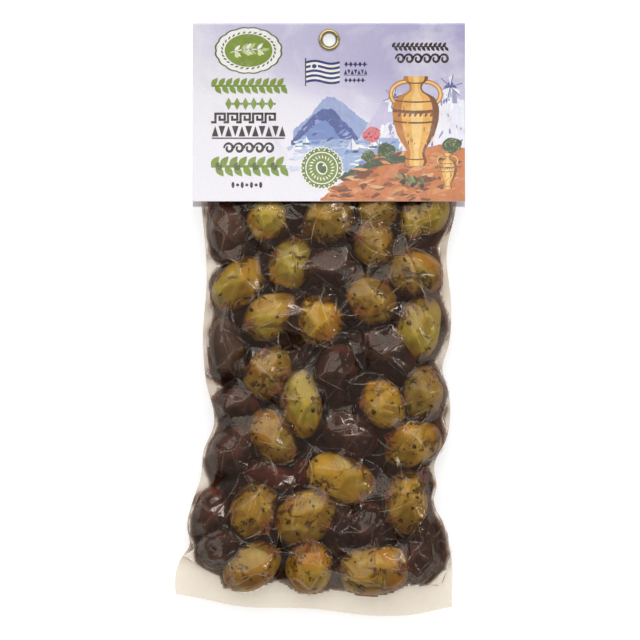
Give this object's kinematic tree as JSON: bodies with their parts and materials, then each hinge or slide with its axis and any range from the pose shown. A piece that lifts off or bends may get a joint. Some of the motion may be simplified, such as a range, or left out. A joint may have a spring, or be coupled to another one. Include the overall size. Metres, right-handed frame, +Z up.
{
  "type": "vacuum pouch of whole olives with header card",
  "caption": "Clear vacuum-sealed pouch of green and dark whole olives with herb flakes, under a folded printed header card with a brass hanging eyelet.",
  "frame": {"origin": "below the middle of the whole, on the surface that the pack lies on", "axes": "+Y along the pack towards the header card's fold, +Z up out of the shown side"},
  "size_m": [0.1383, 0.2831, 0.0215],
  "materials": {
    "film": "clear glossy film, creased by the vacuum",
    "card": "coated card printed with a soft watercolour coast in lavender, white and terracotta",
    "brass": "bright stamped brass",
    "green_olive": "moist olive skin, yellow green with brown blushes",
    "dark_olive": "moist olive skin, brown black to wine red",
    "herb": "crumbled dried herb, wet",
    "juice": "dark reddish brown olive juice between the olives"
  },
  "bodies": {
    "root": {"pouch": "film", "header_card": "card", "eyelet": "brass"}
  },
  "joints": []
}
